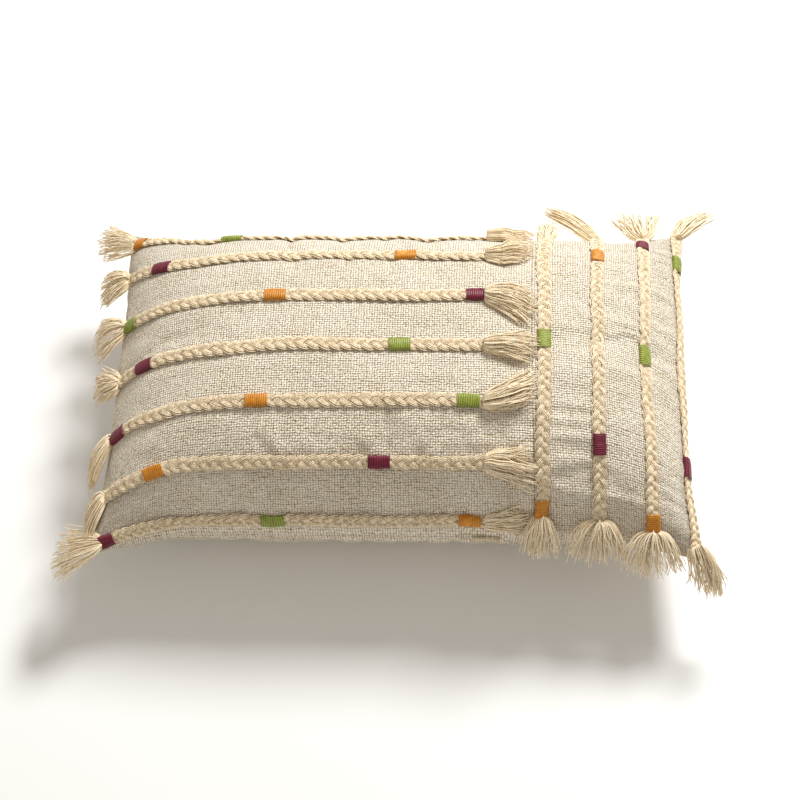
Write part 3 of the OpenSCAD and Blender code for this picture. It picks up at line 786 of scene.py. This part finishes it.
class Route:
    """A plait's line over the cover: its place, its way on, the way across it and outwards."""

    def __init__(self, is_row, k):
        length = (ROW_TO - ROW_FROM) if is_row else (COLUMN_FROM - COLUMN_TO)
        self.is_row, self.k, self.length = is_row, k, length
        s = np.linspace(0, length, round(length / ROUTE_STEP) + 1)
        wander = np.random.default_rng(100 + 10 * k + is_row).uniform(-1, 1, 12)
        drift = WANDER * np.interp(s / length * 11, np.arange(12), wander)
        if is_row:
            u, v = ROW_FROM + s, ROW_V[k] + drift
        else:
            u, v = COLUMN_U[k] + drift + COLUMN_DRIFT[k] * (s / length) ** 3, COLUMN_FROM - s
        self.u, self.v = u, v
        self.s = s
        self.normals = outward(front_sheet, self.u, self.v)
        under = np.pad(relief(self.u, self.v), 2, mode="edge")
        cloth = np.convolve(under, np.full(5, 0.2), "valid")
        self.line = front_sheet.at(self.u, self.v) + self.normals * (PLAIT_LIFT + cloth)[:, None]
        on = unit(np.gradient(self.line, axis=0))
        self.on = on
        self.side = unit(np.cross(self.normals, on))

    def read(self, values, s):
        return np.stack([np.interp(s, self.s, values[:, c]) for c in range(3)], -1)

    def place(self, s, y, z):
        """Points at a distance s along the plait, y across it and z outwards."""
        over = np.clip(s, 0, self.length)
        on = unit(self.read(self.on, over))
        return (self.read(self.line, over) + on * (s - over)[..., None]
                + unit(self.read(self.side, over)) * np.asarray(y)[..., None]
                + unit(self.read(self.normals, over)) * np.asarray(z)[..., None])

    def wraps(self):
        table = ROW_WRAPS[self.k] if self.is_row else COLUMN_WRAPS[self.k]
        return [(WRAP_LEN / 2 + (self.length - WRAP_LEN) * share, colour)
                for share, colour in table]

    def pinch(self, s):
        """How much narrower the plait is where thread is wound round it: 1 where it is free."""
        narrow = np.ones_like(s)
        for middle, _ in self.wraps():
            narrow -= 0.20 / (1 + np.exp((np.abs(s - middle) - 0.0115) / 0.0012))
        return narrow


ROW_ROUTES = [Route(True, k) for k in range(ROWS)]
COLUMN_ROUTES = [Route(False, k) for k in range(COLUMNS)]


def plait(route, name, node):
    tubes = Tubes()
    rng = np.random.default_rng(500 + 10 * route.k + route.is_row)
    s = np.linspace(0, route.length, round(route.length / PLAIT_STEP) + 1)
    start = rng.uniform(0, 2 * np.pi)
    swell = 1 + 0.05 * np.interp(s, np.linspace(0, route.length, 15), rng.uniform(-1, 1, 15))
    for strand in range(3):
        phase = 2 * np.pi * s / PITCH + start + 2 * np.pi * strand / 3
        slope = SWAY * 2 * np.pi / PITCH * np.cos(phase)
        turn = np.arctan(slope)
        for off in YARNS:
            off = off * (1 + 0.12 * rng.uniform(-1, 1))
            arch = ARCH_H * (1 - (off / ARCH_HALF_W) ** 2) - ARCH_SINK
            knots = np.linspace(0, route.length, 40)
            jitter = YARN_JITTER * np.interp(s, knots, rng.uniform(-1, 1, 40))
            narrow = route.pinch(s) * swell
            y = (SWAY * np.sin(phase) + (off + jitter) * np.cos(turn)) * narrow
            along_s = s - off * np.sin(turn)
            z = (HEAVE * np.sin(2 * phase) + arch) * (0.75 + 0.25 * narrow)
            line = route.place(along_s, y, z)
            tubes.add(line, unit(route.read(route.normals, s)), YARN_R * rng.uniform(0.92, 1.08))
    piece = tubes.piece(name)
    return finish_piece(piece, PLAIT, "braid_cotton", "pillow", node)


for route in ROW_ROUTES:
    plait(route, f"plait_row_{route.k + 1}", f"braid_row_{route.k + 1}")
for route in COLUMN_ROUTES:
    plait(route, f"plait_column_{route.k + 1}", f"braid_column_{route.k + 1}")

# ---- Thread wraps ----

# The thread is about 0.8 mm thick; its turns are drawn 2 mm apart so that they show
TURN_PITCH = 0.0020
WRAP_W, WRAP_H = 0.0064, 0.0034
# The sleeve's hollow is this share of its size, and each turn leans a little along the plait
WRAP_INNER, TURN_LEAN, WRAP_SIDES, WRAP_GIRTH = 0.80, 0.0006, 24, 0.034


def wound_thread(tubes, route, middle, rng):
    """Close turns of thread round a plait, as one ridged sleeve."""
    turns = round(WRAP_LEN / TURN_PITCH)
    s = np.linspace(-WRAP_LEN / 2, WRAP_LEN / 2, turns * 6 + 1)
    ridge = np.abs(np.sin(np.pi * s / TURN_PITCH))
    belly = 1 - 0.07 * (2 * s / WRAP_LEN) ** 4
    loose = np.interp(s, np.linspace(-WRAP_LEN / 2, WRAP_LEN / 2, turns), rng.uniform(-1, 1, turns))
    size = belly * (1 + 0.018 * loose) - 0.06 * ridge ** 3
    sides = WRAP_SIDES
    angle = 2 * np.pi * np.arange(sides) / sides
    cos, sin = np.cos(angle), np.sin(angle)
    flat = (np.abs(cos) ** 2.6 + np.abs(sin) ** 2.6) ** (-1 / 2.6)
    lean = TURN_LEAN * np.sin(angle)
    rows = [(s[0], WRAP_INNER)] + list(zip(s, size)) + [(s[-1], WRAP_INNER)]
    grid = np.array([[(at + lean[j], cos[j] * flat[j] * WRAP_W * r, sin[j] * flat[j] * WRAP_H * r)
                      for j in range(sides)] for at, r in rows])
    points = route.place(middle + grid[..., 0], grid[..., 1], grid[..., 2]).reshape(-1, 3)
    n = len(rows)
    i, j = np.meshgrid(np.arange(n), np.arange(sides), indexing="ij")
    a, b = i * sides + j, i * sides + (j + 1) % sides
    c, d = (i + 1) % n * sides + j, (i + 1) % n * sides + (j + 1) % sides
    faces = np.stack([a, c, d, b], -1).reshape(-1, 4)[:, ::-1]
    girth = np.broadcast_to(np.arange(sides)[None] / sides * WRAP_GIRTH, (n, sides))
    # The second coordinate is 1 on the crest of each turn and 0 in the groove beside it; the
    # thread's material paints the grooves darker with it, as shade
    crest = 1 - np.sin(np.pi * (grid[..., 0] - lean) / TURN_PITCH) ** 2
    uv = np.stack([girth, crest], -1).reshape(-1, 2)
    tubes.points.append(points)
    tubes.faces.append(faces + tubes.count)
    tubes.uvs.append(uv)
    tubes.count += len(points)


for colour, thread in THREADS.items():
    for kind, routes in (("rows", ROW_ROUTES), ("columns", COLUMN_ROUTES)):
        tubes = Tubes()
        rng = np.random.default_rng(len(colour) + len(kind))
        for route in routes:
            for middle, wrap_colour in route.wraps():
                if wrap_colour == colour:
                    wound_thread(tubes, route, middle, rng)
        piece = tubes.piece(f"thread_{colour}_{kind}")
        finish_piece(piece, thread, f"thread_{colour}", "pillow", f"wraps_{colour}_{kind}")

# ---- Tassels ----

TASSEL_YARN_R = 0.00048
YARNS_IN_TASSEL = 96
TASSEL_STEPS = 15
# A tassel's yarns start this far inside the end of its plait
TUCK = 0.003
# How far its yarns stray sideways in a long curve, and how far they crimp and heave
STRAY, CRIMP, HEAVING = 0.0024, 0.0011, 0.0007


class Bunch:
    """Shape of a tassel: its middle line, and its half width and half height along it."""

    def __init__(self, length, root_w, tip_w, height, lean, curl, reach=0.62, drop=0.52):
        self.length, self.root_w, self.tip_w = length / 1000, root_w / 2000, tip_w / 2000
        self.height, self.lean, self.curl = height / 1000, lean, curl / 1000
        self.reach, self.drop = reach, drop


def fan_width(bunch, t):
    return bunch.root_w + (bunch.tip_w - bunch.root_w) * np.clip(t, 0, None) ** 0.5


def lying_line(route, bunch, t, side, high):
    """A yarn's points over the front, beyond a row's right end."""
    u = ROW_TO - TUCK + t * bunch.length
    v = ROW_V[route.k] + bunch.lean * bunch.length * t ** 1.2 + side
    normal = outward(front_sheet, u, v)
    return front_sheet.at(u, v) + normal * (high + relief(u, v))[:, None], normal


def hanging_line(bunch, end, t, side, high):
    """A yarn's points where a tassel goes out over an edge and drops."""
    start, onward, out, across, normal = end
    sideways = bunch.lean * bunch.length * t + side
    middle = (start - onward * TUCK * (1 - t[:, None]) ** 2 + onward * 0.0006
              + bunch.length * (out * (bunch.reach * t)[:, None]
                                - np.array([0, 0, 1]) * (bunch.drop * t ** 1.5)[:, None])
              + across * sideways[:, None])
    tangent = unit(np.gradient(middle, axis=0))
    lift = unit(normal - (tangent * normal).sum(-1, keepdims=True) * tangent)
    return middle + lift * (high - PLAIT_LIFT * (1 - 0.55 * t))[:, None], lift


def tassel(route, bunch, end, where, seed):
    """A bunch of unravelled yarns; end is None where it lies on the front."""
    rng = np.random.default_rng(seed)
    tubes = Tubes()
    whole = np.linspace(0, 1, TASSEL_STEPS)
    for k in range(YARNS_IN_TASSEL):
        share, layer = rng.uniform(-1, 1), rng.uniform(0, 1)
        round_off = math.sqrt(max(0.05, 1 - share ** 2))
        # The yarns at the edges are shorter, which rounds the tips off like a brush
        t = whole * rng.uniform(0.76, 1.04) * (0.72 + 0.28 * round_off)
        knots = np.linspace(0, 1, 7)
        sway = np.interp(whole, knots, np.cumsum(rng.normal(size=7)) * 0.5)
        crimp = np.interp(whole, np.linspace(0, 1, 11), rng.uniform(-1, 1, 11))
        heave = np.interp(whole, np.linspace(0, 1, 9), rng.uniform(-1, 1, 9))
        free = np.clip(whole * 3, 0, 1)
        side = (fan_width(bunch, t) * share + free * (STRAY * sway * whole + CRIMP * crimp)
                + bunch.curl * rng.uniform(0.2, 1) * whole ** 2.5)
        top = bunch.height * round_off * (0.8 + 0.45 * np.sin(np.pi * np.clip(t, 0, 1)) - 0.25 * t)
        high = 0.0003 + top * layer + free * HEAVING * np.abs(heave)
        if end is None:
            line, up = lying_line(route, bunch, t, side, high)
        else:
            line, up = hanging_line(bunch, end, t, side, high)
        line[1:-1] = (line[:-2] + 2 * line[1:-1] + line[2:]) / 4
        radius = TASSEL_YARN_R * rng.uniform(0.8, 1.2) * (1 - 0.3 * whole ** 4)
        tubes.add(line, up, radius)
    piece = tubes.piece("fringe_" + where)
    finish_piece(piece, FRINGE, "tassel_cotton", "pillow", "tassel_" + where)


def edge_end(route, at_start, out):
    """Where and how a tassel leaves a plait that ends at an edge of the cover."""
    s = np.array([0.0 if at_start else route.length])
    sign = -1 if at_start else 1
    onward = unit(route.read(route.on, s))[0] * sign
    normal = unit(route.read(route.normals, s))[0]
    across = np.array([0, 1.0, 0]) if route.is_row else np.array([1.0, 0, 0])
    return route.read(route.line, s)[0], onward, np.array(out, float), across, normal


# Length, width at the root and at the tips, height, sideways lean and curl of the tips, in mm,
# and then how far a hanging one goes out and down, as shares of its length
ROW_LEFT = [
    Bunch(44, 11, 44, 10, 0.10, 3, 0.86, 0.20), Bunch(40, 11, 48, 10, -0.10, -2, 0.70, 0.40),
    Bunch(42, 11, 50, 10, -0.15, -3, 0.70, 0.42), Bunch(36, 11, 46, 10, 0.08, 2, 0.66, 0.45),
    Bunch(46, 11, 34, 10, -0.60, -4, 0.40, 0.55), Bunch(36, 11, 36, 10, -0.55, -3, 0.40, 0.60),
    Bunch(60, 11, 62, 9, -0.02, -3, 0.78, 0.42),
]
ROW_RIGHT = [
    Bunch(44, 12, 40, 12, 0.05, 5), Bunch(46, 12, 42, 11, 0.18, 6),
    Bunch(48, 12, 44, 11, -0.12, -12), Bunch(50, 12, 32, 11, 0.02, -3),
    Bunch(48, 12, 36, 11, 0.30, 6), Bunch(48, 12, 38, 11, -0.05, -8),
    Bunch(42, 12, 20, 7, 0.04, 0),
]
COLUMN_TOP = [
    Bunch(34, 11, 22, 7, 0.05, 4, 0.85, 0.2), Bunch(56, 11, 22, 8, -0.80, -4, 0.85, 0.2),
    Bunch(44, 11, 58, 8, -0.15, 3, 0.85, 0.2), Bunch(46, 11, 34, 9, 0.60, 4, 0.80, 0.25),
]
COLUMN_BOTTOM = [
    Bunch(42, 11, 36, 9, -0.05, 2, 0.6, 0.7), Bunch(44, 11, 66, 9, -0.12, 3, 0.6, 0.7),
    Bunch(46, 11, 68, 9, -0.08, 4, 0.6, 0.7), Bunch(48, 12, 30, 13, 0.30, 0, 0.6, 0.75),
]

for k, route in enumerate(ROW_ROUTES):
    end = edge_end(route, True, (-1, 0, 0))
    tassel(route, ROW_LEFT[k], end, f"row_{k + 1}_left", 700 + k)
    tassel(route, ROW_RIGHT[k], None, f"row_{k + 1}_right", 720 + k)
for k, route in enumerate(COLUMN_ROUTES):
    end = edge_end(route, True, (0, 1, 0))
    tassel(route, COLUMN_TOP[k], end, f"column_{k + 1}_top", 740 + k)
    end = edge_end(route, False, (0, -1, 0))
    tassel(route, COLUMN_BOTTOM[k], end, f"column_{k + 1}_bottom", 760 + k)

# ---- Zip ----

TAPE_W, TAPE_T = 0.0112, 0.0005
# The coil's radius to the middle of its filament, the length of a turn, and the filament's radius
COIL_R, COIL_TURN, FILAMENT_R = 0.00072, 0.0013, 0.00027
# The coil starts and ends beside the stops
STOP_CLEAR = 0.0032


def zip_tapes():
    for up, name in ((1, "upper"), (-1, "lower")):
        bpy.ops.object.select_all(action="DESELECT")
        bpy.ops.mesh.primitive_grid_add(x_subdivisions=120, y_subdivisions=6, size=1,
                                        rotation=(math.pi / 2, 0, 0))
        tape = bpy.context.object
        tape.name = f"zip_tape_{name}_woven"
        tape.dimensions = (ZIP_RIGHT - ZIP_LEFT + 2 * TAIL, TAPE_W, 0)
        tape.location = ((ZIP_LEFT + ZIP_RIGHT) / 2, TAPE_Y + TAPE_T / 2,
                         SEAM_H + up * (0.0008 + TAPE_W / 2))
        bpy.ops.object.transform_apply(location=True, rotation=True, scale=True)
        for vertex in tape.data.vertices:  # a thicker corded edge beside the coil
            inner = abs(vertex.co.z - SEAM_H) < 0.0012
            vertex.co.y += 0.00006 if inner else -0.00003 * math.sin(vertex.co.x * 400)
        solid = tape.modifiers.new("thickness", "SOLIDIFY")
        solid.thickness = TAPE_T * 0.8
        solid.offset = 0
        bpy.ops.object.modifier_apply(modifier="thickness")
        finish_piece(tape, TAPE, "zip_tape", "pillow", f"zip_tape_{name}")


def zip_coils():
    """Each row of teeth is one filament wound in a flattened spiral."""
    low, high = ZIP_LEFT + STOP_CLEAR, ZIP_RIGHT - STOP_CLEAR
    count = int((high - low) / COIL_TURN)
    t = np.arange(count * 10 + 1) / 10
    for up, name in ((1, "upper"), (-1, "lower")):
        z = SEAM_H + up * COIL_Z
        line = np.stack([low + t * COIL_TURN, COIL_Y + COIL_R * np.sin(2 * np.pi * t),
                         z + up * COIL_R * np.cos(2 * np.pi * t)], -1)
        tubes = Tubes()
        side = np.broadcast_to(np.array([1.0, 0, 0]), line.shape)
        tubes.add(line, side, FILAMENT_R)
        piece = tubes.piece(f"zip_coil_{name}_filament")
        finish_piece(piece, NYLON, "zip_coil", "pillow", f"zip_coil_{name}")


def cast_copy(node, name, body, edge):
    """A cast zip part: the part's own solid with its edges rounded."""
    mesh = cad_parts[node].data.copy()
    piece = bpy.data.objects.new(name, mesh)
    scene.collection.objects.link(piece)
    shape = bmesh.new()
    shape.from_mesh(mesh)
    bmesh.ops.remove_doubles(shape, verts=shape.verts, dist=1e-6)
    bmesh.ops.dissolve_limit(shape, angle_limit=math.radians(2), verts=shape.verts,
                             edges=shape.edges)
    shape.to_mesh(mesh)
    shape.free()
    bevel = piece.modifiers.new("rounding", "BEVEL")
    bevel.width = edge
    bevel.segments = 2
    bevel.limit_method = "ANGLE"
    bevel.angle_limit = math.radians(50)
    bpy.ops.object.select_all(action="DESELECT")
    piece.select_set(True)
    bpy.context.view_layer.objects.active = piece
    bpy.ops.object.modifier_apply(modifier="rounding")
    bpy.ops.object.shade_smooth_by_angle(angle=math.radians(35))
    finish_piece(piece, LACQUER, "zip_metal", body, node)


zip_tapes()
zip_coils()
cast_copy("zip_stop_closed_end", "zip_stop_closed_end_clamp", "pillow", edge=0.0003)
cast_copy("zip_stop_open_end", "zip_stop_open_end_clamp", "pillow", edge=0.0003)
cast_copy("zip_slider", "zip_slider_body", "slider", edge=0.00018)
cast_copy("zip_pull", "zip_pull_tab", "pull", edge=0.00018)

# ---- Floor and light ----


def make_stage():
    bpy.ops.object.select_all(action="DESELECT")
    bpy.ops.mesh.primitive_plane_add(size=12, location=(0, 0, -0.0004))
    floor = bpy.context.object
    floor.name = "studio_floor"
    material, tree, bsdf = new_material("matt_white_paper", Roughness=0.9, Specular_IOR_Level=0.1)
    spots = add(tree, "TexCoord").outputs["Object"]
    grain = add(tree, "TexNoise", {"Vector": spots, "Scale": 3}).outputs["Fac"]
    colour = ramp(tree, grain, [(0.3, "#f6f6f5"), (0.7, "#f9f9f8")])
    tree.links.new(colour, bsdf.inputs["Base Color"])
    floor.data.materials.append(material)


def add_light(name, energy, size, place, target=(0, 0, 0.05), colour="#ffffff"):
    data = bpy.data.lights.new(name, "AREA")
    data.shape = "DISK"
    data.energy, data.size, data.color = energy, size, srgb(colour)[:3]
    light = bpy.data.objects.new(name, data)
    scene.collection.objects.link(light)
    light.location = place
    light.rotation_euler = (Vector(target) - Vector(place)).to_track_quat("-Z", "Y").to_euler()


make_stage()
add_light("window_light", energy=71, size=0.8, place=(0.75, 1.45, 1.9))
add_light("soft_fill", energy=9, size=2.2, place=(-1.4, -1.8, 2.4), colour="#ffeed8")
world = bpy.data.worlds.new("studio")
world.use_nodes = True
world.node_tree.nodes["Background"].inputs["Color"].default_value = srgb("#fdf8f0")
world.node_tree.nodes["Background"].inputs["Strength"].default_value = 0.42
scene.world = world
